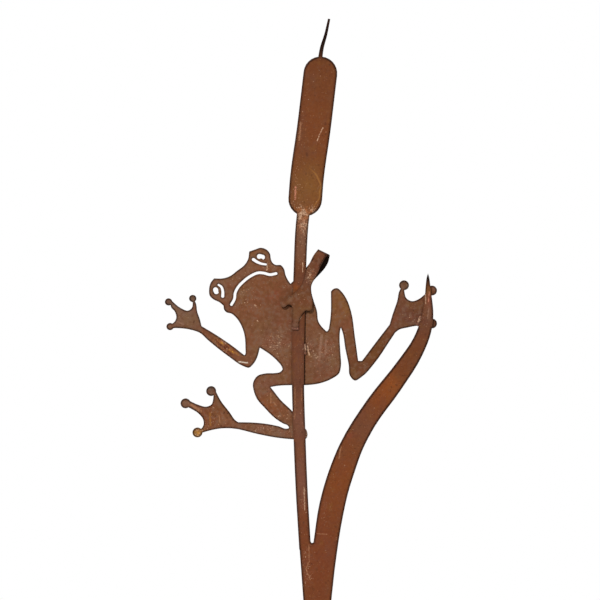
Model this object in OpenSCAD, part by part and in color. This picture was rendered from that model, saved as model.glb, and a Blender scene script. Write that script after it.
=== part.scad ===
// Rusted sheet-steel garden stake: a frog climbing a bulrush.
// Two cut sheets, one behind the other, joined by tack welds.
// Millimetres. +Z is up, the front faces -Y, and the origin is on the blade at the soil line.

/* [Reed sheet] */
// Thickness of the reed sheet
reed_thickness = 3; // [2:0.5:4]
// Width of the bulrush head
head_width = 44.5; // [36:0.5:54]
// Width of the stem
stem_width = 17; // [14:0.5:18]
// Length of the spike on top of the head
spike_length = 50; // [30:1:80]
// Depth of the ground point below the soil line
ground_depth = 200; // [120:5:300]

/* [Frog sheet] */
// Thickness of the frog sheet
frog_thickness = 2; // [1.5:0.5:2.5]
// Width of the mouth slit
mouth_slit = 3.5; // [2.5:0.25:4.5]
// Radius of the toes of the hands
hand_toe_radius = 4.75; // [4:0.25:5.5]
// Radius of the toes of the feet
foot_toe_radius = 6.5; // [5.5:0.25:7.5]
// Forward bend of the free hand at its wrist, in degrees
hand_bend = 12; // [2:1:20]
// Forward bend of the free foot at its ankle, in degrees
foot_bend = 9; // [2:1:16]
// Mean radius of the fold in the gripping arm
fold_radius = 5; // [4:0.5:6]

/* [Tack welds] */
// Radius of a weld bead
bead_radius = 2.75; // [2.5:0.25:3.25]

/* [View] */
// Part to build

/* [Hidden] */
rust = [0.47, 0.28, 0.19];
bead_rust = [0.40, 0.25, 0.18];
// Chords drawn along one span of a curve, and along one half-round end
span_chords = 4;
end_chords = 14;
toe_facets = 48;
bead_facets = 32;
// Half thicknesses, and the planes that the sheets meet on
reed_half = reed_thickness / 2;
frog_mid = reed_half + frog_thickness / 2;
frog_back = reed_half + frog_thickness;

// ---------- curves ----------

function unit(v) = v / norm(v);
function turned(v) = [-v.y, v.x];
// Slope of a smooth curve at point i, weighted for uneven spacing
function slope(p, i) =
  let(last = len(p) - 1)
  i == 0 ? (p[1] - p[0]) / norm(p[1] - p[0]) :
  i == last ? (p[last] - p[last - 1]) / norm(p[last] - p[last - 1]) :
  let(a = norm(p[i] - p[i - 1]), b = norm(p[i + 1] - p[i]))
  ((p[i] - p[i - 1]) * b / a + (p[i + 1] - p[i]) * a / b) / (a + b);
// Point at fraction t of the span that starts at point i
function along(p, i, t) =
  let(d = norm(p[i + 1] - p[i]))
  (1 + 2 * t) * (1 - t) * (1 - t) * p[i] + t * (1 - t) * (1 - t) * d * slope(p, i)
  + t * t * (3 - 2 * t) * p[i + 1] - t * t * (1 - t) * d * slope(p, i + 1);
// Smooth open curve through every point of p, without its last point
function run(p) = [
  for (i = [0 : len(p) - 2])
    for (k = [0 : span_chords - 1]) along(p, i, k / span_chords)];
// The same curve with its last point
function curve(p) = concat(run(p), [p[len(p) - 1]]);
// Outline that follows several curves, each starting where the last one ends
function joined(parts) = [for (part = parts) each run(part)];

// Mitred sideways step at point i of a path
function side_step(p, i) =
  let(a = turned(unit(p[max(i, 1)] - p[max(i, 1) - 1])))
  let(b = turned(unit(p[min(i + 1, len(p) - 1)] - p[min(i, len(p) - 2)])))
  (a + b) / (1 + a * b);
// Width at point i, when a band tapers from w0 to w1
function band_width(p, i, w0, w1) = w0 + (w1 - w0) * i / (len(p) - 1);
// Band along a path with square ends
function band(p, w0, w1) = concat(
  [for (i = [0 : len(p) - 1]) p[i] + side_step(p, i) * band_width(p, i, w0, w1) / 2],
  [for (i = [len(p) - 1 : -1 : 0]) p[i] - side_step(p, i) * band_width(p, i, w0, w1) / 2]);
// Half-round end about c, on the side that direction d points to
function round_end(c, d, r) = [for (k = [1 : end_chords - 1])
  let(a = atan2(d.y, d.x) + 90 - 180 * k / end_chords) c + r * [cos(a), sin(a)]];
// Band along a path with round ends
function rounded_band(p, w0, w1) =
  let(last = len(p) - 1)
  concat(
    [for (i = [0 : last]) p[i] + side_step(p, i) * band_width(p, i, w0, w1) / 2],
    round_end(p[last], p[last] - p[last - 1], w1 / 2),
    [for (i = [last : -1 : 0]) p[i] - side_step(p, i) * band_width(p, i, w0, w1) / 2],
    round_end(p[0], p[0] - p[1], w0 / 2));

// Sheet cut from a flat outline drawn in X and Z, with its back face at y = back
module sheet(back, thickness)
  translate([0, back, 0]) rotate([90, 0, 0]) linear_extrude(thickness) children();

// ---------- reed sheet ----------

// Middle line of the bulrush head and of the stem below it
head_line = [[4.5, 728], [-4.5, 653], [-13.5, 588], [-15.5, 562]];
stem_line = [[-15.5, 562], [-19.5, 530], [-22.5, 470], [-24.5, 390], [-25, 315], [-23, 247],
             [-20.3, 180], [-15.6, 100]];
stem_taper = 1.5;
// Spike from the top of the head; its tip leans to the right
head_top = 750;
spike_line = [[3.5, 742], [6.5, 762], [11.5, 779], [16, head_top + spike_length]];
spike_root_width = 6;
spike_tip_width = 3;
// Edges of the ground blade and of the leaf, from the ground point up to the fork on the left,
// and from the fork round the leaf's tip to the ground point on the right
ground_point = [0, -ground_depth];
leaf_tip = [146.5, 464];
blade_left = [ground_point, [-18, 33], [-23.4, 107]];
fork_shoulder = [[-23.4, 107], [-17, 110]];
fork_base = [[-17, 110], [-4.5, 110]];
leaf_inner = [[-4.5, 110], [3, 159], [15.5, 203], [30, 238.5], [66.5, 297.5], [109, 351.5], [127, 378],
              [137.5, 405], [142.5, 435], [143.8, 450], [145, 459], leaf_tip];
leaf_outer = [leaf_tip, [148, 459], [149.3, 450], [151, 437], [153.5, 407], [150.5, 386], [139.5, 357],
              [110.5, 310], [76.5, 262.5], [60, 231], [50, 203], [41.5, 176], [34.5, 145], [24, 78],
              [19, 33], ground_point];
// Round end of the slot between stem and leaf
fork_centre = [-6.3, 110];
fork_radius = 1.8;

module reed_outline() {
  polygon(rounded_band(curve(head_line), head_width, head_width));
  polygon(band(curve(stem_line), stem_width, stem_width - stem_taper));
  polygon(band(curve(spike_line), spike_root_width, spike_tip_width));
  difference() {
    polygon(joined([blade_left, fork_shoulder, fork_base, leaf_inner, leaf_outer]));
    translate(fork_centre) circle(fork_radius, $fn = toe_facets);
  }
}

module reed_plate() color(rust)
  sheet(reed_half, reed_thickness) reed_outline();

// ---------- frog sheet, flat outline ----------

// Head, from the notch beside the stem over both eyes to the throat
neck_notch = [-35, 450.5];
brow = [neck_notch, [-39, 456.5], [-41.5, 462], [-43.5, 470], [-47.5, 475], [-55, 475.5], [-58.5, 478],
        [-61, 483.5], [-62, 490], [-66.5, 495.5], [-75, 498], [-81, 496], [-89.5, 493]];
face = [[-89.5, 493], [-91, 483], [-96, 475], [-105, 468], [-116, 460], [-125, 457.5], [-136, 457.5]];
cheek = [[-136, 457.5], [-140.5, 451.5], [-142.5, 443], [-141.5, 434.5], [-137, 430], [-128, 425.5],
         [-123.5, 421.5]];
throat = [[-123.5, 421.5], [-122.5, 416], [-119.5, 412.8], [-113, 411], [-107, 406], [-100.5, 396.5],
          [-96, 384], [-94.2, 359]];

// Free arm and its hand
forearm_top = [[-94.2, 359], [-95.6, 356.2], [-99, 358.5], [-108, 365.5], [-135, 384], [-152.5, 394.5]];
thumb_side = [[-152.5, 394.5], [-154.5, 403], [-158, 413], [-161, 427], [-164, 430]];
hand_web_top = [[-164, 430], [-165.5, 418], [-170, 415], [-179, 418], [-193, 429.5]];
hand_web_side = [[-193, 429.5], [-192, 419], [-187.5, 414], [-185.5, 405], [-188, 400], [-193.5, 396.5]];
arm_bottom = [[-193.5, 396.5], [-192.5, 392], [-186.5, 392], [-165.5, 389.5], [-154.5, 385.5],
              [-144.5, 376.5], [-116, 354], [-97, 341.5], [-90, 339.5], [-84, 344.5], [-79.5, 352],
              [-75.5, 366]];
hand_toes = [[-164, 431], [-195.5, 426.5], [-193.5, 394]];

// Belly edge, bent left hind leg and the top of its shank
flank = [[-75.5, 366], [-62.5, 357.5], [-52, 348], [-46.5, 341], [-45.5, 337.5], [-48.5, 334], [-55, 332.5],
         [-68, 332], [-79, 328.5], [-84.5, 319], [-83.5, 309], [-79, 298], [-69.5, 287], [-55.5, 273],
         [-45, 266], [-38, 262.5], [-37, 260], [-40, 259], [-50, 262], [-64.5, 265], [-83, 267],
         [-104, 267.5]];

// Free foot
foot_inside = [[-104, 267.5], [-107, 269.5], [-115.5, 281], [-127.5, 297], [-134.5, 311]];
foot_web_top = [[-134.5, 311], [-136.5, 302], [-137, 297.5], [-139, 291.5], [-145, 288.5], [-156.5, 291],
                [-171, 298]];
foot_web_side = [[-171, 298], [-171, 289], [-166, 286], [-156, 279.5], [-150, 271.5], [-149.5, 264.5],
                 [-152, 260], [-158, 257]];
shank_bottom = [[-158, 257], [-154, 253.5], [-148.5, 255], [-139, 257.5], [-127, 259.5], [-112.5, 259.5],
                [-78.5, 252], [-55.5, 247.5], [-31.5, 245], [-16, 244.5]];
foot_toes = [[-139.5, 309], [-173, 293], [-157.5, 254.5]];

// Ankle behind the stem, up the inside of the leg and along the belly
leg_inside = [[-16, 244.5], [-13.5, 247], [-13, 255], [-16, 260], [-33, 282.5], [-48.5, 297.5],
              [-57.5, 309], [-61.5, 314]];
belly = [[-61.5, 314], [-53, 315.5], [-33, 316.5], [-16, 316.5], [4, 319], [19.5, 325], [29.5, 332.5],
         [31.5, 340], [31, 359], [30, 376], [30.5, 388], [31.5, 392.5]];

// Right hind leg, from the slit beside the body down to the heel and up to the ankle
heel = [[31.5, 392.5], [33, 389], [37.5, 364.5], [42, 342.5], [43.5, 329], [50, 322.5], [58.5, 327],
        [76, 345.5], [96.5, 375.5], [103.5, 386]];
leaf_foot_bottom = [[103.5, 386], [108, 389.5], [119, 392.5], [133.5, 395], [150, 394]];
leaf_foot_side = [[150, 394], [147.5, 410], [147.5, 428], [152, 443]];
leaf_foot_web = [[152, 443], [142.5, 436.5], [135, 430.5], [125, 427.5], [118, 431.5], [115.5, 440],
                 [115, 448]];
leaf_foot_inside = [[115, 448], [110, 443], [106, 427.5], [100, 410], [96, 396.5]];
shank_top = [[96, 396.5], [77.5, 372.5], [59.5, 348.5]];
knee_corner = [[59.5, 348.5], [54.5, 348.5]];
thigh = [[54.5, 348.5], [50, 381], [45, 414], [39.5, 429.5], [32.5, 440], [27, 444.5], [22.5, 444],
         [18.5, 440.5]];
leaf_toes = [[115, 448.5], [152, 441.5], [152, 398]];

// Back of the body and the outside of the gripping arm, up to its fold
body_back = [[18.5, 440.5], [18, 407.5], [16.5, 396], [15, 389.5], [13, 387.5], [10.5, 389.5], [2, 400.5],
             [0, 414.5], [-4.5, 428.5], [-7.5, 441], [-7.5, 447], [-5, 453.5], [3, 462.5], [10, 470.5],
             [14.5, 478], [17, 487.5]];
fold_line = [[17, 487.5], [15.5, 490.5], [2, 496.5]];
arm_inside = [[2, 496.5], [-4.5, 488], [-9.5, 478], [-14.5, 471.5], [-24, 461], neck_notch];

// Slits and holes of the face
mouth = [[-113, 423], [-109, 430.5], [-108, 438.5], [-104.5, 445.5], [-96.5, 454], [-87, 461], [-77, 465],
         [-70, 464.5], [-62, 462.5], [-54, 464]];
upper_lid = [[-84, 482.5], [-78.5, 479], [-73.5, 477], [-67.5, 476]];
lower_lid = [[-130, 449], [-126.5, 446.5], [-124.5, 441], [-124.5, 434]];
lid_slit = 4;
lid_slit_end = 2.5;
// Each eye hole is a short slot with a round pupil tab that reaches in from its lid
upper_eye = [[-76, 486.5], [-72, 485.5]];
upper_pupil = [-74, 481];
lower_eye = [[-134, 442.5], [-133, 440]];
lower_pupil = [-127.5, 441];
eye_hole = 6.5;
pupil_radius = 3;

module toes(centres, r)
  for (c = centres) translate(c) circle(r, $fn = toe_facets);

module eye(slot, pupil) difference() {
  polygon(rounded_band(slot, eye_hole, eye_hole));
  translate(pupil) circle(pupil_radius, $fn = toe_facets);
}

module frog_outline() difference() {
  union() {
    polygon(joined([brow, face, cheek, throat, forearm_top, thumb_side, hand_web_top, hand_web_side,
                    arm_bottom, flank, foot_inside, foot_web_top, foot_web_side, shank_bottom, leg_inside,
                    belly, heel, leaf_foot_bottom, leaf_foot_side, leaf_foot_web, leaf_foot_inside,
                    shank_top, knee_corner, thigh, body_back, fold_line, arm_inside]));
    toes(hand_toes, hand_toe_radius);
    toes(foot_toes, foot_toe_radius);
    toes(leaf_toes, foot_toe_radius);
  }
  polygon(rounded_band(curve(mouth), mouth_slit, mouth_slit));
  polygon(rounded_band(curve(upper_lid), lid_slit, lid_slit_end));
  polygon(rounded_band(curve(lower_lid), lid_slit_end, lid_slit));
  eye(upper_eye, upper_pupil);
  eye(lower_eye, lower_pupil);
}

// ---------- frog sheet, bends ----------

// Each bend has a point on its crease, the direction away from the body, and the reach and
// half width of what lies beyond it
wrist_bend = [[-152.5, 390], 180, 60, 50];
ankle_bend = [[-104, 263], 170, 90, 60];
// The gripping arm: its fold, and the crease where it leaves the body
fold_at = [9.5, 492.2];
fold_heading = 244;
arm_reach = 38;
arm_half_width = 28;
// Flat sheet kept on the near side of a crease
lap = 4;
// Depth that a bent part may take up, room beside it, and half width of the gripping hand
bend_room = 50;
arm_room = 25;
overhang = 2;
hand_half_width = 60;

// Flat outline region beyond a bend
module beyond(bend)
  translate(bend[0]) rotate(bend[1]) translate([-lap, -bend[3]]) square([bend[2] + lap, 2 * bend[3]]);
// Rear part of the gripping arm as a flat region
module rear_arm_region()
  translate(fold_at) rotate(fold_heading) translate([-2 * lap, -arm_half_width])
    square([arm_reach + 3 * lap, 2 * arm_half_width]);

// Solid with profile points [distance beyond the crease, y], drawn across the full half width
module folded(at, heading, half_width, profile)
  translate([at.x, 0, at.y]) rotate([0, -heading, 0]) translate([0, 0, -half_width])
    linear_extrude(2 * half_width) polygon(profile);

module bent_part(bend, angle) intersection() {
  sheet(bend_room, 2 * bend_room) intersection() {
    frog_outline();
    beyond(bend);
  }
  folded(bend[0], bend[1], bend[3] + overhang, band(
    [[-2 * lap, frog_mid], [0, frog_mid], [bend[2] + lap, frog_mid - (bend[2] + lap) * tan(angle)]],
    frog_thickness, frog_thickness));
}

// Path of the gripping arm seen along its fold line: flat on the body, back and round the
// fold, then forward onto the stem
arm_lean = atan2(fold_radius - frog_mid, arm_reach - fold_radius - frog_thickness / 2);
fold_centre = fold_radius + frog_thickness / 2;
fold_chords = 20;
fold_arc = [for (k = [0 : fold_chords])
  let(a = 90 + arm_lean - k * (180 + 2 * arm_lean) / fold_chords)
  [fold_centre - fold_radius * cos(a), fold_radius * sin(a)]];
rear_end = arm_reach + 3 * lap;
front_end = 110;
arm_path = concat([[rear_end, frog_mid], [arm_reach, frog_mid]], fold_arc,
                  [[arm_reach, -frog_mid], [front_end, -frog_mid]]);

// Front of the gripping arm with its hand, as a flat outline
grip_left = [[2, 496.5], [-4.5, 488], [-9.5, 478], [-13.5, 470], [-15.5, 461], [-19, 450.5], [-26.5, 441],
             [-35, 433.5], [-44, 427]];
grip_palm = [[-44, 427], [-42, 420.5], [-37.5, 423.3], [-33.5, 421.5], [-32, 414], [-32, 405], [-31, 396]];
grip_finger = [[-31, 396], [-25.3, 397], [-23.2, 404], [-20.5, 409.2], [-15.5, 415]];
grip_right = [[-15.5, 415], [-10.8, 416.5], [-6.5, 420.5], [-6, 429], [-7.8, 437], [-8.3, 447], [-1, 461],
              [4.5, 472.5], [10, 483], [15.5, 490.5]];
grip_top = [[15.5, 490.5], [2, 496.5]];
grip_toes = [[-44, 424.5], [-28.7, 396], [-10.8, 419.5]];

module grip_outline() {
  polygon(joined([grip_left, grip_palm, grip_finger, grip_right, grip_top]));
  toes(grip_toes, hand_toe_radius);
}

module gripping_arm() {
  intersection() {
    sheet(arm_room, arm_room) intersection() {
      frog_outline();
      rear_arm_region();
    }
    folded(fold_at, fold_heading, arm_half_width + overhang,
           band(arm_path, frog_thickness, frog_thickness));
  }
  intersection() {
    sheet(0, arm_room) grip_outline();
    folded(fold_at, fold_heading, hand_half_width, band(arm_path, frog_thickness, frog_thickness));
  }
}

module frog_plate() color(rust) {
  sheet(frog_back, frog_thickness) difference() {
    frog_outline();
    beyond(wrist_bend);
    beyond(ankle_bend);
    rear_arm_region();
  }
  bent_part(wrist_bend, hand_bend);
  bent_part(ankle_bend, foot_bend);
  gripping_arm();
}

// ---------- tack welds ----------

everything = 600;

module in_front_of(y) translate([-everything, y - everything, -everything])
  cube([2 * everything, everything, 2 * everything]);
module behind(y) translate([-everything, y, -everything])
  cube([2 * everything, everything, 2 * everything]);

// Row of beads from point a to point b
module bead_row(a, b, count, r)
  for (k = [0 : count - 1]) translate(a + (b - a) * k / (count - 1)) sphere(r, $fn = bead_facets);

// Beads in the corner between an edge of the reed and the face of the frog behind it
module corner_weld(a, b, count, r) color(bead_rust) difference() {
  bead_row(a, b, count, r);
  behind(reed_half);
  reed_plate();
}
// Beads behind, in the corner between an edge of the frog and the back of the reed
module back_weld(a, b, count, r) color(bead_rust) difference() {
  bead_row(a, b, count, r);
  in_front_of(reed_half);
  sheet(frog_back, frog_thickness) frog_outline();
}

// First and last bead of each row, in X and Z
wrist_row = [[-11.5, 451], [-7.5, 457]];
finger_row = [[-31, 391.8], [-26, 391.2]];
side_row = [[-16, 359], [-16, 369]];
ankle_row = [[-15.4, 249], [-15.4, 256]];
leaf_row = [[133.5, 397], [137, 406]];
neck_row = [[-27, 458], [-21.5, 463.5]];
belly_row = [[-29, 316.5], [-20, 316.5]];

// Bead centre at height y behind or in front of the reed's middle
function at_depth(p, y) = [p.x, y, p.y];

// Beads in the gap between the two layers of the gripping arm, beside the stem
wrist_bead = frog_back - 0.3;
module weld_wrist() color(bead_rust) difference() {
  bead_row(at_depth(wrist_row[0], 0), at_depth(wrist_row[1], 0), 3, wrist_bead);
  frog_plate();
  reed_plate();
}
// Beads on the stem at the tip of the gripping hand's middle finger
finger_bead = bead_radius - 0.25;
module weld_finger() color(bead_rust) difference() {
  bead_row(at_depth(finger_row[0], -reed_half), at_depth(finger_row[1], -reed_half), 3, finger_bead);
  behind(-reed_half);
  sheet(-reed_half, frog_thickness) grip_outline();
}
module weld_side()
  corner_weld(at_depth(side_row[0], reed_half), at_depth(side_row[1], reed_half), 5, bead_radius);
module weld_ankle()
  corner_weld(at_depth(ankle_row[0], reed_half), at_depth(ankle_row[1], reed_half), 4, bead_radius - 0.5);
module weld_leaf()
  corner_weld(at_depth(leaf_row[0], reed_half), at_depth(leaf_row[1], reed_half), 4, bead_radius);
module weld_neck_back()
  back_weld(at_depth(neck_row[0], frog_mid), at_depth(neck_row[1], frog_mid), 3, bead_radius);
module weld_belly_back()
  back_weld(at_depth(belly_row[0], frog_mid), at_depth(belly_row[1], frog_mid), 4, bead_radius);

reed_plate();
frog_plate();
weld_wrist();
weld_finger();
weld_side();
weld_ankle();
weld_leaf();
weld_neck_back();
weld_belly_back();
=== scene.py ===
"""Looks of a rusted garden stake: a sheet-steel frog that climbs a bulrush.

Everything is in metres in the CAD frame: +Z up the stake, the front faces -Y, +X to the right.
"""
import math
import random

import bmesh
import bpy
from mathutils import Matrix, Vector, noise
from mathutils.bvhtree import BVHTree

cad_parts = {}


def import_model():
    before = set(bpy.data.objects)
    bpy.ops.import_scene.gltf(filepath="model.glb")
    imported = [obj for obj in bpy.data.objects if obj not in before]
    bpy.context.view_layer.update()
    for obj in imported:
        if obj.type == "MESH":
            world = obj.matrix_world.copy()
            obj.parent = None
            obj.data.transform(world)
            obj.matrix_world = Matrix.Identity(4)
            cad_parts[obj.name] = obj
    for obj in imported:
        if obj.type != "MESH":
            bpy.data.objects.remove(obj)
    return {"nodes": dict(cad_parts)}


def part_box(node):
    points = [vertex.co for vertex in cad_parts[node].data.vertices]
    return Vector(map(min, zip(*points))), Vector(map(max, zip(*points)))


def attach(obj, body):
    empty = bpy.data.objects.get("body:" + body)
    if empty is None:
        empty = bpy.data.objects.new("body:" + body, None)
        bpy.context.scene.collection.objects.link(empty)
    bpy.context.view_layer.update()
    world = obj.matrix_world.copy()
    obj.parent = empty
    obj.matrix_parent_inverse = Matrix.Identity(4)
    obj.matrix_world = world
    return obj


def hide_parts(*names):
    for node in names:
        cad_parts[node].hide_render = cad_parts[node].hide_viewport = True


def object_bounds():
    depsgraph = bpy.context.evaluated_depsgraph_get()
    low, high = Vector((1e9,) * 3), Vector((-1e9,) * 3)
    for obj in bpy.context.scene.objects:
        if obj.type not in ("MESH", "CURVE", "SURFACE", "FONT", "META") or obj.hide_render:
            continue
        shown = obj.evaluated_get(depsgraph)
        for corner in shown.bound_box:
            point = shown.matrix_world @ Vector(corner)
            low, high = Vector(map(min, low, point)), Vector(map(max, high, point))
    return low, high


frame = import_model()
cad_low, cad_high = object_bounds()
nodes = frame["nodes"]

MM = 0.001
# Points nearer to each other than this are one point
SAME_PLACE = 1e-6
# Which way a side of the stake faces along Y
FRONT, BACK = -1, 1
REED_FRONT, REED_BACK = (corner.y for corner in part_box("reed_plate"))
WELDS = sorted(name for name in nodes if name.startswith("weld_"))


def tone(red, green, blue):
    """A colour given as 0-255 display values, as the linear values that shaders take."""
    def linear(value):
        share = value / 255
        return share / 12.92 if share <= 0.04045 else ((share + 0.055) / 1.055) ** 2.4
    return Vector((linear(red), linear(green), linear(blue)))


# Rust tones; the two darkest also serve as painted shade
BROWN = tone(124, 80, 54)
UMBER = tone(104, 63, 38)
DEEP = tone(113, 63, 35)
RED = tone(119, 60, 35)
ORANGE = tone(131, 68, 32)
OCHRE = tone(134, 89, 44)
GREY = tone(126, 94, 75)
MAUVE = tone(123, 83, 70)
PLUM = tone(105, 66, 51)
FLAME = tone(146, 76, 32)
BRICK = tone(150, 66, 50)
# Dark pits in the rust, and also painted shade round the fold of the gripping arm
WINE_AND_FOLD_SHADE = tone(84, 40, 27)
COCOA = tone(101, 58, 29)
SLATE = tone(92, 84, 74)
SMOKE = tone(86, 50, 36)
OLIVE = tone(121, 88, 55)
RUSSET = tone(127, 71, 49)
AMBER = tone(206, 150, 48)
DARK = tone(66, 38, 27)
# Burnt cut edges, and also painted shade in corners, beside the stem, under the hand and round the fold
BURNT_EDGE_AND_SHADE = tone(34, 20, 15)
# Soot on the points, and also painted shade inside the fold of the gripping arm
SOOT_AND_FOLD_SHADE = tone(28, 17, 13)
CREAM = tone(214, 174, 142)
PALE = tone(240, 226, 206)
PINK = tone(206, 136, 110)
HAZE = tone(148, 110, 90)
TAN = tone(166, 116, 84)
GOLD = tone(200, 138, 70)
HONEY = tone(158, 104, 50)
HEAT = tone(86, 58, 52)

# Patches of tone, in millimetres: (x, z, radius along x, radius along z, tone, strength from 0 to 1)
REED_PATCHES = [
    (10, 776, 22, 26, SOOT_AND_FOLD_SHADE, 1.0),
    (0, 650, 26, 40, ORANGE, 0.3),
    (-22, 655, 8, 34, PLUM, 0.4),
    (-10, 578, 26, 34, OCHRE, 0.75),
    (-19, 512, 14, 30, GREY, 0.8),
    (-23, 447, 14, 22, ORANGE, 0.35),
    (-28, 447, 5, 5, FLAME, 0.8),
    (-24, 420, 16, 22, UMBER, 0.5),
    (-24, 345, 14, 50, PLUM, 0.8),
    (-22, 270, 14, 32, MAUVE, 0.6),
    (-20, 190, 12, 40, MAUVE, 0.85),
    (4, 100, 34, 80, RED, 0.9),
    (30, 200, 30, 50, ORANGE, 0.7),
    (64, 262, 26, 30, MAUVE, 0.25),
    (84, 300, 22, 22, ORANGE, 0.8),
    (98, 320, 14, 18, FLAME, 0.9),
    (40, 248, 5, 4, BRICK, 0.6),
    (116, 350, 24, 30, DEEP, 0.6),
    (146, 400, 16, 26, PLUM, 0.75),
    (149, 425, 8, 14, MAUVE, 0.8),
    (147, 431, 4, 9, BRICK, 0.45),
    (146.5, 412, 5, 8, GREY, 0.6),
    (146.5, 460, 9, 13, SOOT_AND_FOLD_SHADE, 1.0),
    (148, 443, 7, 5, OCHRE, 0.95),
]
FROG_PATCHES = [
    (-88, 488, 24, 12, OCHRE, 0.4),
    (-60, 488, 12, 14, GREY, 0.6),
    (-92, 466, 34, 14, GREY, 0.35),
    (-130, 442, 14, 18, GREY, 0.5),
    (-56, 438, 24, 22, RED, 0.4),
    (-50, 404, 22, 22, PLUM, 0.3),
    (-34, 400, 9, 60, PLUM, 0.45),
    (-54, 372, 26, 18, GREY, 0.6),
    (8, 362, 30, 32, GREY, 0.45),
    (-10, 330, 30, 10, PLUM, 0.35),
    (30, 424, 16, 24, OCHRE, 0.65),
    (40, 380, 14, 20, BROWN, 0.5),
    (52, 338, 18, 16, UMBER, 0.85),
    (80, 362, 34, 32, COCOA, 1.0),
    (120, 408, 28, 28, PLUM, 1.0),
    (134, 411, 9, 15, SMOKE, 0.7),
    (155, 442, 9, 9, PLUM, 0.9),
    (115, 450, 9, 8, SLATE, 0.6),
    (155, 398, 9, 9, SMOKE, 0.9),
    (-122, 372, 18, 14, ORANGE, 0.5),
    (-127, 377, 8, 6, FLAME, 0.8),
    (-112, 364, 8, 6, FLAME, 0.6),
    (-57, 436, 6, 6, BRICK, 0.35),
    (-180, 412, 36, 32, GREY, 1.0),
    (-68, 314, 20, 14, MAUVE, 0.6),
    (-66, 288, 14, 16, FLAME, 0.45),
    (-76, 257, 46, 14, GREY, 1.0),
    (-135, 278, 22, 22, ORANGE, 0.35),
    (-158, 302, 7, 6, GREY, 0.6),
    (-138, 280, 9, 16, RED, 0.5),
    (-118, 272, 8, 8, TAN, 0.35),
    (-139, 310, 9, 9, SLATE, 0.95),
    (-173, 293, 9, 9, GREY, 0.9),
    (-157, 254, 9, 8, AMBER, 0.6),
    (-20, 432, 18, 26, UMBER, 0.85),
    # Painted shade round the fold of the gripping arm, darkest inside it
    (4, 477, 20, 20, WINE_AND_FOLD_SHADE, 0.5),
    (15, 484, 6, 11, WINE_AND_FOLD_SHADE, 0.8),
    (-196, 428, 8, 8, SLATE, 0.9),
    (-164, 432, 8, 7, SLATE, 0.8),
    (-121, 416, 7, 6, SLATE, 0.8),
]

# Areas with many light flecks, in millimetres: (x, z, radius along x, radius along z, strength)
REED_WEAR = [
    (-12, 546, 26, 10, 0.9), (-28, 580, 6, 30, 0.6), (-18, 527, 14, 18, 1.2), (-19, 478, 5, 14, 0.5),
    (-16, 165, 6, 30, 0.42), (-13, 78, 9, 30, 0.55), (-22, 650, 5, 24, 0.5), (8, 152, 8, 24, 0.35),
    (134, 402, 8, 12, 0.7), (-20, 345, 5, 20, 0.2), (-20, 272, 8, 24, 0.25), (2, 640, 8, 14, 0.3),
]
FROG_WEAR = [
    (-50, 372, 20, 20, 0.6), (8, 360, 20, 20, 0.5), (-10, 366, 5, 12, 0.8), (-122, 374, 16, 12, 1.0),
    (-98, 436, 14, 24, 0.45), (-60, 262, 34, 10, 0.55), (-66, 474, 12, 10, 0.6), (-182, 420, 14, 14, 0.3),
    (-146, 270, 22, 26, 0.45), (-8, 461, 7, 10, 1.1), (128, 404, 8, 14, 0.6), (-20, 440, 12, 10, 0.3),
    (-157, 255, 7, 7, 0.8), (-52, 276, 14, 8, 0.5),
]

# Scratches, streaks and painted shadow lines, in millimetres: (from x, from z, to x, to z, width, tone)
REED_SCRATCHES_AND_SHADOWS = [
    (8, 656, 3, 647, 0.9, CREAM), (3, 645, 0, 639, 0.9, CREAM),
    (-21.5, 662, -23.5, 640, 1.8, TAN), (-28, 578, -29, 562, 1.6, PINK),
    (-17, 182, -16, 152, 0.8, CREAM), (-10.5, 106, -10.5, 84, 0.9, TAN),
    (-10.5, 84, -15, 74, 0.9, TAN), (-15, 74, -8.5, 60, 0.9, TAN),
    (31.5, 236, 29, 220, 1.3, TAN), (0, 121, 13, 120, 0.9, TAN), (-19, 478, -19, 466, 0.9, CREAM),
    (148, 440, 147, 427, 0.9, PINK), (142.9, 441, 143.2, 424, 1.0, CREAM),
    (147.5, 418, 146, 405, 1.2, HAZE), (-21, 408, -23, 402, 0.9, CREAM),
    # Painted shadow beside the middle finger
    (-17, 413, -21.6, 408.3, 1.1, BURNT_EDGE_AND_SHADE), (-21.6, 408.3, -24.2, 403.6, 1.1, BURNT_EDGE_AND_SHADE),
    (-24.2, 403.6, -25.4, 398, 1.0, BURNT_EDGE_AND_SHADE),
    # Down the stem below the hand
    (-29, 314, -29.5, 272, 0.8, TAN), (-20, 312, -20, 296, 0.7, TAN),
]
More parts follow.
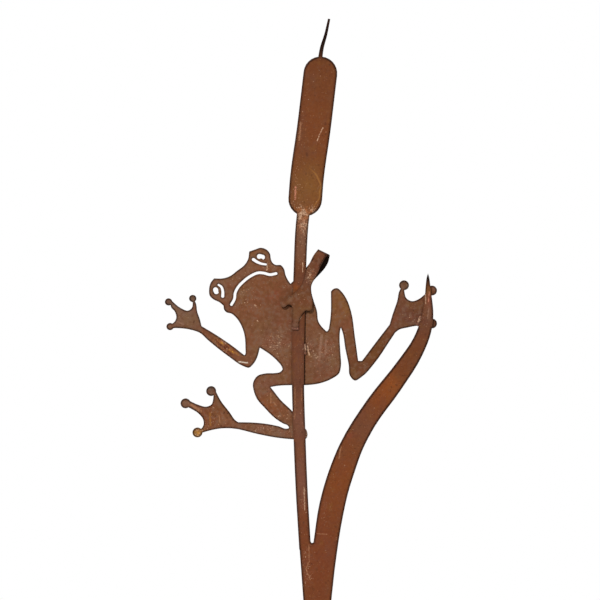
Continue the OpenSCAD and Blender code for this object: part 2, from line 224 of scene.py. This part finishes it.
FROG_SCRATCHES_AND_SHADOWS = [
    (-103, 347.5, -92, 346, 1.5, PALE), (-65.5, 478, -66.5, 468, 1.0, CREAM),
    (-81.8, 422.5, -81, 421, 1.1, CREAM), (-79, 402, -78, 401, 1.1, CREAM),
    (-30.5, 388, -30, 385, 1.0, CREAM), (-12.5, 368, -10, 356, 1.2, CREAM),
    (6, 381, 3, 350, 2.4, HAZE), (12, 376, 11, 358, 1.8, HAZE),
    # Golden rust with dark pits on the free forearm
    (-127.5, 373.5, -123.5, 370, 2.6, HONEY), (-133, 376, -129.5, 371, 2.2, WINE_AND_FOLD_SHADE),
    (-127.5, 369.5, -121.5, 365.5, 2.2, WINE_AND_FOLD_SHADE), (-125.5, 372.5, -124.5, 371.8, 1.0, AMBER),
    (-121, 369, -117.5, 366, 2.0, WINE_AND_FOLD_SHADE), (-115.5, 363, -110, 359.5, 2.6, HONEY),
    (-117, 361, -112.5, 356.5, 2.2, WINE_AND_FOLD_SHADE), (-112, 361, -111, 360.3, 0.9, AMBER),
    (-108, 360, -104, 356.5, 1.6, HONEY),
    # Painted shadow beside the stem and under the gripping hand
    (-15.7, 414, -16.3, 319, 1.3, BURNT_EDGE_AND_SHADE), (-42, 419.5, -38.5, 422.4, 1.5, BURNT_EDGE_AND_SHADE),
    (-38.5, 422.4, -34, 421, 1.5, BURNT_EDGE_AND_SHADE), (-15.5, 413.8, -9.5, 414, 1.4, BURNT_EDGE_AND_SHADE),
    # Knee and thigh
    (36, 413, 45, 413, 0.8, OCHRE), (-61, 306, -61, 293, 1.2, TAN), (-57, 294, -54, 290, 1.0, TAN),
]
# The same where the sheet is bent, so that the marks follow its front
BENT_SCRATCHES_AND_SHADE = [
    # Painted shade round the fold of the gripping arm, in dark lines
    (3, 494.6, 13.4, 489.4, 3.4, BURNT_EDGE_AND_SHADE), (12.2, 487.6, 3.4, 472.5, 2.8, BURNT_EDGE_AND_SHADE),
    (1.4, 493.6, -7.8, 479.5, 1.4, BURNT_EDGE_AND_SHADE),
    # Free foot and hand
    (-141, 280, -140.5, 264, 1.7, HONEY), (-129, 277, -128, 267, 1.0, TAN),
    (-165, 291, -153, 282.5, 2.6, TAN), (-186, 401, -176, 397, 1.6, HAZE),
]
# Round the slits of the face the cut edges stayed clean, in millimetres: (x, z, radius along x,
# radius along z)
CLEAN_CUTS = [
    (-111, 430, 6, 9), (-103, 448, 7, 8), (-89, 460, 9, 6), (-72, 465, 10, 6), (-57, 463, 7, 5),
    (-74, 482, 10, 6), (-130, 441, 8, 9),
]
# Stain that dried in a curve on the bulrush head, in millimetres: centre x and z, radius, and half
# width of the line
STAIN = (-31, 575.5, 35.4, 1.6)


# ---------------------------------------------------------------- places on the sheets

def tree_of(node):
    mesh = nodes[node].data
    return BVHTree.FromPolygons([v.co for v in mesh.vertices], [list(p.vertices) for p in mesh.polygons])


SHEET_TREES = [tree_of("reed_plate"), tree_of("frog_plate")]


def on_sheet(x, z, side):
    """The point that a line along Y meets first from that side, or None beside the sheets."""
    clear = 50 * MM
    origin = Vector((x, side * clear, z))
    hits = [tree.ray_cast(origin, Vector((0, -side, 0)))[0] for tree in SHEET_TREES]
    return max((hit for hit in hits if hit), key=lambda hit: side * hit.y, default=None)


def flat_place(x, z, side):
    """A point on a sheet's face with nothing but flat sheet just round it, or None."""
    margin, step = 1.2 * MM, 0.5 * MM
    around = [on_sheet(x + dx * margin, z + dz * margin, side)
              for dx, dz in ((0, 0), (1, 0), (-1, 0), (0, 1), (0, -1))]
    if None in around or max(p.y for p in around) - min(p.y for p in around) > step:
        return None
    return around[0]


def waviness(x, z):
    """How far a point of the sheets stands out of flat, the same for both so that they stay in touch."""
    slow = noise.noise(Vector((x * 7, 3.1, z * 5)))
    quick = noise.noise(Vector((x * 23, 8.7, z * 19)))
    return (0.22 * slow + 0.07 * quick) * MM


def bell(x, z, centre_x, centre_z, radius_x, radius_z):
    """1 at the centre, falling smoothly to nearly 0 at twice the radii."""
    return math.exp(-((x - centre_x) / radius_x) ** 2 - ((z - centre_z) / radius_z) ** 2)


# ---------------------------------------------------------------- materials

class Graph:
    """The node tree of one material."""

    def __init__(self, name):
        self.material = bpy.data.materials.new(name)
        self.material.use_nodes = True
        self.tree = self.material.node_tree
        self.tree.nodes.clear()
        self.place = self.add("ShaderNodeTexCoord").outputs["Object"]

    def add(self, kind, inputs=None, **settings):
        made = self.tree.nodes.new(kind)
        for key, value in settings.items():
            setattr(made, key, value)
        for key, value in (inputs or {}).items():
            self.feed(made.inputs[key], value)
        return made

    def feed(self, socket, value):
        if isinstance(value, bpy.types.NodeSocket):
            self.tree.links.new(value, socket)
        else:
            socket.default_value = value

    def noise(self, scale, detail=2.0, roughness=0.5, stretch=None):
        place = self.vector("MULTIPLY", self.place, stretch) if stretch else self.place
        inputs = {"Vector": place, "Scale": scale, "Detail": detail, "Roughness": roughness}
        return self.add("ShaderNodeTexNoise", inputs).outputs["Fac"]

    def wobble(self, scale, reach, detail=2.0):
        """Small random steps, up to half of reach each way, to bend what is drawn where they lead."""
        inputs = {"Vector": self.place, "Scale": scale, "Detail": detail}
        steps = self.add("ShaderNodeTexNoise", inputs).outputs["Color"]
        return self.vector("MULTIPLY", self.vector("SUBTRACT", steps, (0.5, 0.5, 0.5)), reach)

    def cells(self, scale, place):
        made = self.add("ShaderNodeTexVoronoi", {"Vector": place, "Scale": scale}, feature="F1")
        return made.outputs["Distance"], made.outputs["Color"]

    def math(self, operation, first, second=0.0, clamp=False):
        made = self.add("ShaderNodeMath", {0: first, 1: second}, operation=operation, use_clamp=clamp)
        return made.outputs[0]

    def vector(self, operation, first, second=(0, 0, 0)):
        made = self.add("ShaderNodeVectorMath", {0: first, 1: second}, operation=operation)
        return made.outputs["Value" if operation in ("DOT_PRODUCT", "LENGTH") else "Vector"]

    def fade(self, value, start, end, low=0.0, high=1.0):
        """Goes smoothly from low at start to high at end."""
        inputs = {"Value": value, "From Min": start, "From Max": end, "To Min": low, "To Max": high}
        return self.add("ShaderNodeMapRange", inputs, interpolation_type="SMOOTHSTEP").outputs["Result"]

    def mix(self, share, first, second):
        made = self.add("ShaderNodeMix", {0: share}, data_type="RGBA")
        for index, colour in ((6, first), (7, second)):
            is_link = isinstance(colour, bpy.types.NodeSocket)
            self.feed(made.inputs[index], colour if is_link else (*colour, 1))
        return made.outputs[2]

    def attribute(self, name, output):
        return self.add("ShaderNodeAttribute", attribute_name=name).outputs[output]

    def stroke(self, place, start, end, width):
        """1 on the line from start to end, fading to 0 at width from it."""
        along = end - start
        offset = self.vector("SUBTRACT", place, start)
        share = self.vector("DOT_PRODUCT", offset, along / along.length_squared)
        share = self.math("ADD", share, clamp=True)
        inputs = {0: along, "Scale": share}
        foot = self.add("ShaderNodeVectorMath", inputs, operation="SCALE").outputs["Vector"]
        distance = self.vector("LENGTH", self.vector("SUBTRACT", offset, foot))
        return self.fade(distance, width, width * 0.3)


def clouded(g, colour, grain, fine):
    """Changes of tone from hand's breadth clouds down to the grain of the rust."""
    broad = g.noise(16, 3)
    middle = g.noise(80, 4, 0.6)
    cloud = g.noise(42, 3, 0.55, stretch=(1, 1, 0.6))
    colour = g.mix(g.fade(broad, 0.45, 0.75, 0, 0.3), colour, ORANGE)
    colour = g.mix(g.fade(cloud, 0.5, 0.75, 0, 0.4), colour, PLUM)
    colour = g.mix(g.fade(middle, 0.55, 0.78, 0, 0.4), colour, OCHRE)
    colour = g.mix(g.fade(grain, 0.5, 0.8, 0, 0.5), colour, DARK)
    colour = g.mix(g.fade(grain, 0.48, 0.22, 0, 0.45), colour, OCHRE)
    return g.mix(g.fade(fine, 0.52, 0.75, 0, 0.3), colour, DARK)


def blotched(g, colour, wear, mottle):
    """Drifts of greener and redder rust, and small blotches that are stronger where it is worn."""
    drift = g.noise(44, 3, 0.6)
    colour = g.mix(g.fade(drift, 0.5, 0.64, 0, 0.3 * mottle), colour, OLIVE)
    colour = g.mix(g.fade(drift, 0.5, 0.36, 0, 0.35 * mottle), colour, RUSSET)
    blotch = g.noise(210, 3, 0.6)
    contrast = g.math("ADD", g.math("MULTIPLY", wear, 0.5), mottle)
    for end, tint in ((0.64, GREY), (0.36, UMBER)):
        colour = g.mix(g.math("MULTIPLY", g.fade(blotch, 0.5, end, 0, 0.42), contrast), colour, tint)
    return colour


def pits(g, swirl):
    """1 in ragged pits of many sizes that lie in groups, 0 elsewhere."""
    distance, chance = g.cells(230, g.vector("ADD", g.place, swirl))
    reach = g.fade(chance, 0.45, 0.8, 0, 0.36)
    pit = g.fade(g.math("SUBTRACT", distance, reach), 0.06, -0.1)
    return g.math("MULTIPLY", pit, g.fade(g.noise(45, 2), 0.42, 0.6))


def worn(g, colour, regional, wear, flecks, swirl):
    """Light flecks, with a net of pale lines where the wear is heaviest."""
    bright = g.vector("MULTIPLY", regional, (2.3, 2.1, 1.9))
    pale = g.mix(g.fade(g.noise(120, 2), 0.42, 0.58), bright, CREAM)
    colour = g.mix(g.math("MULTIPLY", flecks, 0.65), colour, pale)
    curl = g.vector("MULTIPLY", swirl, (0.3, 0.3, 0.3))
    meshes = g.cells(330, g.vector("ADD", g.place, curl))[0]
    net = g.math("MULTIPLY", g.fade(meshes, 0.5, 0.72), g.fade(wear, 0.8, 1.1))
    return g.mix(g.math("MULTIPLY", net, 0.6), colour, pale)


def stained(g, colour, stain, face_y):
    """A faint curved line, the right side of a circle."""
    across, up, radius, half_width = (value * MM for value in stain)
    from_centre = g.vector("SUBTRACT", g.place, (across, face_y, up))
    from_centre = g.vector("ADD", from_centre, g.wobble(60, (8 * MM, 0, 8 * MM)))
    rightward = g.add("ShaderNodeSeparateXYZ", {0: from_centre}).outputs["X"]
    off_line = g.math("ABSOLUTE", g.math("SUBTRACT", g.vector("LENGTH", from_centre), radius))
    on_right = g.fade(rightward, 0.55 * radius, 0.9 * radius)
    line = g.math("MULTIPLY", g.fade(off_line, half_width, 0), on_right)
    return g.mix(g.math("MULTIPLY", line, 0.3), colour, GOLD)


def scratched_and_shadowed(g, colour, scratch_and_shadow_marks, face_y, bent_scratch_and_shadow_marks):
    """Single scratches, streaks and painted shadow lines, a little crooked and broken up along their
    length.
    """
    place = g.vector("ADD", g.place, g.wobble(350, (2.4 * MM, 0, 2.4 * MM)))
    broken = g.fade(g.noise(600, 3), 0.36, 0.56, 0.25, 1.0)

    def on_face(x, z):
        return Vector((x * MM, face_y, z * MM))

    def on_bend(x, z):
        return on_sheet(x * MM, z * MM, FRONT)

    for marks, point in ((scratch_and_shadow_marks, on_face), (bent_scratch_and_shadow_marks, on_bend)):
        for from_x, from_z, to_x, to_z, width, tint in marks:
            stroke = g.stroke(place, point(from_x, from_z), point(to_x, to_z), width * MM)
            share = g.math("MULTIPLY", g.math("MULTIPLY", stroke, broken), 0.8)
            colour = g.mix(share, colour, tint)
    return colour


def sooted_and_fold_shaded(g, colour, regional):
    """Soot on the points, and painted shade inside the fold, where the regional tone is nearly black."""
    light = g.vector("DOT_PRODUCT", regional, (0.3, 0.6, 0.1))
    return g.mix(g.fade(light, 0.05, 0.012, 0, 0.9), colour, SOOT_AND_FOLD_SHADE)


def edged_and_corner_shaded(g, colour, grain, rim, burnt):
    """Dark, burnt cut edges, and painted shade in the corners where one layer lies on another."""
    rounded = g.add("ShaderNodeBevel", {"Radius": rim * MM}, samples=8).outputs["Normal"]
    normal = g.add("ShaderNodeNewGeometry").outputs["Normal"]
    edge = g.fade(g.vector("DOT_PRODUCT", rounded, normal), 0.999, 0.98)
    edge = g.math("MULTIPLY", edge, g.fade(grain, 0.8, 0.4, 0.75, 1.0))
    edge = g.math("MULTIPLY", edge, g.fade(g.attribute("open", "Fac"), 0, 1, 0.25, 1))
    colour = g.mix(g.math("MULTIPLY", edge, burnt), colour, BURNT_EDGE_AND_SHADE)
    # Painted shade: ambient occlusion darkens the corners where one layer lies on another
    inputs = {"Distance": 3.0 * MM}
    corner = g.add("ShaderNodeAmbientOcclusion", inputs, samples=6).outputs["AO"]
    return g.mix(g.fade(corner, 0.85, 0.5, 0, 0.4), colour, BURNT_EDGE_AND_SHADE)


def rust(name, scratch_and_shadow_marks=(), face_y=0.0, bent_scratch_and_shadow_marks=(), speck=1.0, mottle=1.0, stain=None, rim=5.4,
         burnt=0.92):
    """Bare steel that has rusted outdoors, with painted shade added in its corners.

    speck and mottle scale the light flecks and the blotches, rim is the radius in millimetres that
    finds the cut edges, and burnt is how dark those are.
    """
    g = Graph(name)
    regional = g.attribute("tone", "Color")
    wear = g.attribute("wear", "Fac")
    grain = g.noise(420, 5, 0.65)
    fine = g.noise(1300, 3, 0.6)
    swirl = g.wobble(300, (5 * MM, 5 * MM, 5 * MM), detail=3.0)
    pit = pits(g, swirl)
    level = g.math("ADD", g.noise(560, 2.5, 0.6), g.math("MULTIPLY", wear, 0.16 * speck))
    flecks = g.fade(level, 0.66, 0.73)

    colour = clouded(g, regional, grain, fine)
    colour = blotched(g, colour, wear, mottle)
    colour = g.mix(g.math("MULTIPLY", pit, 0.3 + 0.3 * min(1, mottle)), colour, DARK)
    colour = worn(g, colour, regional, wear, flecks, swirl)
    if stain:
        colour = stained(g, colour, stain, face_y)
    colour = scratched_and_shadowed(g, colour, scratch_and_shadow_marks, face_y, bent_scratch_and_shadow_marks)
    colour = sooted_and_fold_shaded(g, colour, regional)
    colour = edged_and_corner_shaded(g, colour, grain, rim, burnt)

    height = g.math("ADD", g.math("MULTIPLY", grain, 0.7), g.math("MULTIPLY", fine, 0.45))
    height = g.math("SUBTRACT", height, g.math("MULTIPLY", pit, 0.5))
    height = g.math("ADD", height, g.math("MULTIPLY", flecks, 0.25))
    bump = g.add("ShaderNodeBump", {"Height": height, "Strength": 0.55, "Distance": 0.35 * MM})
    shader = g.add("ShaderNodeBsdfPrincipled", {
        "Base Color": colour, "Roughness": g.fade(grain, 0.25, 0.75, 0.72, 0.93),
        "Normal": bump.outputs["Normal"], "Metallic": 0.0, "Specular IOR Level": 0.06})
    g.add("ShaderNodeOutputMaterial", {"Surface": shader.outputs["BSDF"]})
    return g.material


# ---------------------------------------------------------------- sheet steel

def new_object(name, data):
    made = bpy.data.objects.new(name, data)
    bpy.context.scene.collection.objects.link(made)
    return made


def shade_smooth(mesh):
    mesh.polygons.foreach_set("use_smooth", [True] * len(mesh.polygons))


def heated_by_welds(vertex, colour, welds):
    """The darker halo that the heat of each tack weld left."""
    halo = 5 * MM
    for centre, reach in welds:
        ring = (vertex.co - centre).length / (reach + halo)
        colour = colour.lerp(HEAT, 0.35 * math.exp(-ring ** 4))
    return colour


def fold_shade_share(vertex, x, z):
    """How much painted shade a point gets: only inside the fold of the gripping arm, on faces that look
    forward.
    """
    left_end, crease, blend = -14, 450, 8
    inside = vertex.co.y > 0 and vertex.normal.y < -0.3 and x > left_end
    return 0.85 * min(1, max(0, (z - crease) / blend)) if inside else 0


def paint(mesh, base, patches, wear_areas):
    """Stores each point's tone, with painted shade inside the fold, its wear, and how open it is to the
    air, for the material.
    """
    ragged, ragged_scale = 6, 60
    past_sheet, behind = 3.1 * MM, 20 * MM
    clean_share, most_wear = 0.75, 1.2
    welds = [((low + high) / 2, (high - low).length / 2) for low, high in map(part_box, WELDS)]
    tones, wear, opened = [], [], []
    for vertex in mesh.vertices:
        x = vertex.co.x / MM + ragged * noise.noise(vertex.co * ragged_scale)
        z = vertex.co.z / MM + ragged * noise.noise(vertex.co * ragged_scale + Vector((5, 5, 5)))
        colour = base.copy()
        for *area, patch_tone, strength in patches:
            colour = colour.lerp(patch_tone, strength * bell(x, z, *area))
        colour = heated_by_welds(vertex, colour, welds)
        # Painted shade inside the fold of the gripping arm
        colour = colour.lerp(SOOT_AND_FOLD_SHADE, fold_shade_share(vertex, x, z))
        tones.extend((*colour, 1))
        start = vertex.co + Vector((0, past_sheet, 0))
        covered = any(tree.ray_cast(start, Vector((0, 1, 0)), behind)[0] for tree in SHEET_TREES)
        clean = min(1, sum(bell(x, z, *area) for area in CLEAN_CUTS))
        opened.append(0 if covered else 1 - clean_share * clean)
        wear.append(min(most_wear, sum(strength * bell(x, z, *area) for *area, strength in wear_areas)))
    mesh.color_attributes.new("tone", "FLOAT_COLOR", "POINT").data.foreach_set("color", tones)
    mesh.attributes.new("wear", "FLOAT", "POINT").data.foreach_set("value", wear)
    mesh.attributes.new("open", "FLOAT", "POINT").data.foreach_set("value", opened)


def burred(bm):
    """Rounds the rims of a sheet's faces into small burrs."""
    rim_angle, burr = math.radians(50), 0.3 * MM
    rims = []
    for edge in bm.edges:
        areas = [face.calc_area() for face in edge.link_faces]
        if len(areas) == 2 and edge.calc_face_angle() > rim_angle and max(areas) > 4 * min(areas):
            rims.append(edge)
    bmesh.ops.bevel(bm, geom=rims, offset=burr, offset_type="OFFSET", segments=2, profile=0.5,
                    affect="EDGES", clamp_overlap=False)


def gridded(bm, low, high):
    """Cuts a sheet's wide faces along a grid, so that they can bend and carry tones."""
    cell = 5 * MM
    for axis in (0, 2):
        steps = int((high[axis] - low[axis]) / cell)
        for step in range(1, steps):
            at, normal = Vector(), Vector()
            at[axis] = low[axis] + (high[axis] - low[axis]) * step / steps
            normal[axis] = 1
            geometry = bm.verts[:] + bm.edges[:] + bm.faces[:]
            bmesh.ops.bisect_plane(bm, geom=geometry, dist=SAME_PLACE, plane_co=at, plane_no=normal)


def sheet(name, node, base, patches, wear_areas, material):
    """A sheet's cut shape with rounded burrs along its rims and a surface that isn't quite flat."""
    flat_angle, sharp_angle = math.radians(0.4), math.radians(35)
    bm = bmesh.new()
    bm.from_mesh(nodes[node].data)
    bmesh.ops.remove_doubles(bm, verts=bm.verts, dist=SAME_PLACE)
    bmesh.ops.dissolve_limit(bm, angle_limit=flat_angle, verts=bm.verts, edges=bm.edges)
    burred(bm)
    gridded(bm, *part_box(node))
    bmesh.ops.triangulate(bm, faces=bm.faces)
    bmesh.ops.dissolve_degenerate(bm, edges=bm.edges, dist=SAME_PLACE)
    for vertex in bm.verts:
        vertex.co.y += waviness(vertex.co.x, vertex.co.z)
    mesh = bpy.data.meshes.new(name)
    bm.to_mesh(mesh)
    bm.free()
    paint(mesh, base, patches, wear_areas)
    shade_smooth(mesh)
    mesh.set_sharp_from_angle(angle=sharp_angle)
    mesh.materials.append(material)
    made = new_object(name, mesh)
    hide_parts(node)
    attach(made, "root")


# ---------------------------------------------------------------- tack welds

# Drops of spatter tried round each weld; those that would miss the sheets are left out
SPATTER = {"weld_wrist": 16, "weld_side": 14, "weld_leaf": 18, "weld_neck_back": 12, "weld_belly_back": 12}


def fused(name, node):
    """The CAD beads of a weld as one rounded lump."""
    source = bmesh.new()
    source.from_mesh(nodes[node].data)
    bmesh.ops.remove_doubles(source, verts=source.verts, dist=SAME_PLACE)
    mesh = bpy.data.meshes.new(name + "_rough")
    source.to_mesh(mesh)
    source.free()
    rough = new_object(name + "_rough", mesh)
    remesh = rough.modifiers.new("fuse", "REMESH")
    remesh.mode = "VOXEL"
    remesh.voxel_size = 0.3 * MM
    graph = bpy.context.evaluated_depsgraph_get()
    made = bpy.data.meshes.new_from_object(rough.evaluated_get(graph))
    bpy.data.objects.remove(rough)
    made.name = name
    return made


def rippled(bm, low, high, seed):
    """Softens a lump of weld metal, then ripples it where the arc stepped along."""
    ripple_length, ripple_height = 0.22 * MM, 0.10 * MM
    lump_scale, lump_height = 420, 0.35 * MM
    for _ in range(4):
        bmesh.ops.smooth_vert(bm, verts=bm.verts, factor=0.5,
                              use_axis_x=True, use_axis_y=True, use_axis_z=True)
    bm.normal_update()
    middle = (low + high) / 2
    slant = sum((v.co - middle).x * (v.co - middle).z for v in bm.verts)
    along = Vector((high.x - low.x, 0, math.copysign(high.z - low.z, slant))).normalized()
    for vertex in bm.verts:
        ripple = math.sin((vertex.co - middle).dot(along) / ripple_length)
        lump = noise.noise(vertex.co * lump_scale + Vector((seed, 0, 0)))
        vertex.co += vertex.normal * (ripple_height * ripple + lump_height * lump)


def spatter(bm, middle, side, count, seed):
    """Flattened drops on the sheet round a weld."""
    draw = random.Random(seed)
    spread_x, spread_z, smallest, largest = 4 * MM, 6 * MM, 0.35, 0.75
    flatness, dent_scale, dent_depth = 0.7, 900, 0.25
    for _ in range(count):
        place = flat_place(draw.gauss(middle.x, spread_x), draw.gauss(middle.z, spread_z), side)
        size = draw.uniform(smallest, largest) * MM
        if place is None:
            continue
        place.y += waviness(place.x, place.z)
        drop = bmesh.ops.create_icosphere(bm, subdivisions=2, radius=size)["verts"]
        for vertex in drop:
            dent = 1 + dent_depth * noise.noise(vertex.co / size + place * dent_scale)
            vertex.co = place + Vector((vertex.co.x, vertex.co.y * flatness, vertex.co.z)) * dent


def weld_bead(name, node, seed, material):
    """A tack weld with drops of spatter beside it."""
    low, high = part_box(node)
    middle = (low + high) / 2
    mesh = fused(name, node)
    bm = bmesh.new()
    bm.from_mesh(mesh)
    rippled(bm, low, high, seed)
    side = BACK if node.endswith("_back") else FRONT
    spatter(bm, middle, side, SPATTER.get(node, 0), seed)
    bm.to_mesh(mesh)
    bm.free()
    mesh.materials.clear()
    mesh.materials.append(material)
    paint(mesh, MAUVE, [], [(middle.x / MM, middle.z / MM, 20, 20, 0.8)])
    shade_smooth(mesh)
    made = new_object(name, mesh)
    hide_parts(node)
    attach(made, "root")


reed_rust = rust("reed_rust", REED_SCRATCHES_AND_SHADOWS, REED_FRONT, mottle=0.25, stain=STAIN)
frog_rust = rust("frog_rust", FROG_SCRATCHES_AND_SHADOWS, REED_BACK, BENT_SCRATCHES_AND_SHADE, mottle=1.2, rim=4.0, burnt=0.84)
bead_rust = rust("bead_rust", speck=1.3, rim=3.6, burnt=0.2)
sheet("reed_sheet", "reed_plate", DEEP, REED_PATCHES, REED_WEAR, reed_rust)
sheet("frog_sheet", "frog_plate", BROWN, FROG_PATCHES, FROG_WEAR, frog_rust)
for number, weld in enumerate(WELDS):
    weld_bead(weld.replace("weld_", "tack_"), weld, number, bead_rust)


# ---------------------------------------------------------------- stage, light and camera

def floor(level, radius):
    """A plain round floor that fades out towards its rim."""
    corners = 96
    angles = [2 * math.pi * corner / corners for corner in range(corners)]
    profile = [(radius, -6 * MM), (radius - 2 * MM, -1 * MM), (radius - 6 * MM, 0)]
    bm = bmesh.new()
    rings = [[bm.verts.new((ring_radius * math.cos(a), ring_radius * math.sin(a), level + height))
              for a in angles] for ring_radius, height in profile]
    for outer, inner in zip(rings, rings[1:]):
        for i in range(corners):
            j = (i + 1) % corners
            bm.faces.new((outer[i], outer[j], inner[j], inner[i]))
    bm.faces.new(rings[-1])
    mesh = bpy.data.meshes.new("floor")
    bm.to_mesh(mesh)
    bm.free()
    g = Graph("floor_white")
    shade = g.mix(g.noise(6, 2), (0.93, 0.93, 0.93), (0.96, 0.96, 0.96))
    from_middle = g.vector("LENGTH", g.vector("MULTIPLY", g.place, (1, 1, 0)))
    shader = g.add("ShaderNodeBsdfPrincipled", {
        "Base Color": shade, "Roughness": 0.9, "Specular IOR Level": 0.1,
        "Alpha": g.fade(from_middle, 0.5 * radius, 0.97 * radius, 1, 0)})
    g.add("ShaderNodeOutputMaterial", {"Surface": shader.outputs["BSDF"]})
    mesh.materials.append(g.material)
    new_object("floor", mesh)


def area_light(name, place, target, size, power):
    data = bpy.data.lights.new(name, "AREA")
    data.shape = "DISK"
    data.size = size
    data.energy = power
    made = new_object(name, data)
    made.location = place
    made.rotation_euler = (target - place).to_track_quat("-Z", "Y").to_euler()


def world():
    """A white surround that the camera sees at full strength and that lights the object softly."""
    made = bpy.data.worlds.new("studio")
    made.use_nodes = True
    tree = made.node_tree
    tree.nodes.clear()
    either = tree.nodes.new("ShaderNodeMixShader")
    path = tree.nodes.new("ShaderNodeLightPath")
    tree.links.new(path.outputs["Is Camera Ray"], either.inputs[0])
    for socket, strength in ((1, 0.28), (2, 1.0)):
        background = tree.nodes.new("ShaderNodeBackground")
        background.inputs["Color"].default_value = (1, 1, 1, 1)
        background.inputs["Strength"].default_value = strength
        tree.links.new(background.outputs[0], either.inputs[socket])
    out = tree.nodes.new("ShaderNodeOutputWorld")
    tree.links.new(either.outputs[0], out.inputs["Surface"])
    bpy.context.scene.world = made


def studio():
    bpy.context.scene.view_settings.view_transform = "Standard"
    world()
    aim = (cad_low + cad_high) / 2
    area_light("key", aim + Vector((-1.3, -2.8, 2.4)), aim, 0.5, 119)
    area_light("fill", aim + Vector((1.9, 2.8, 2.0)), aim, 1.4, 90)


def camera():
    """Straight at the front, level with the middle of the frog, as in the photograph."""
    distance, width, sensor = 3.0, 0.792, 36.0
    data = bpy.data.cameras.new("camera")
    data.sensor_width = sensor
    data.lens = sensor * distance / width
    data.clip_end = 60
    made = new_object("camera", data)
    made.location = (-22.4 * MM, -distance, 429 * MM)
    made.rotation_euler = (math.radians(90), 0, 0)
    bpy.context.scene.camera = made


floor(cad_low.z, 1.6)
studio()
camera()
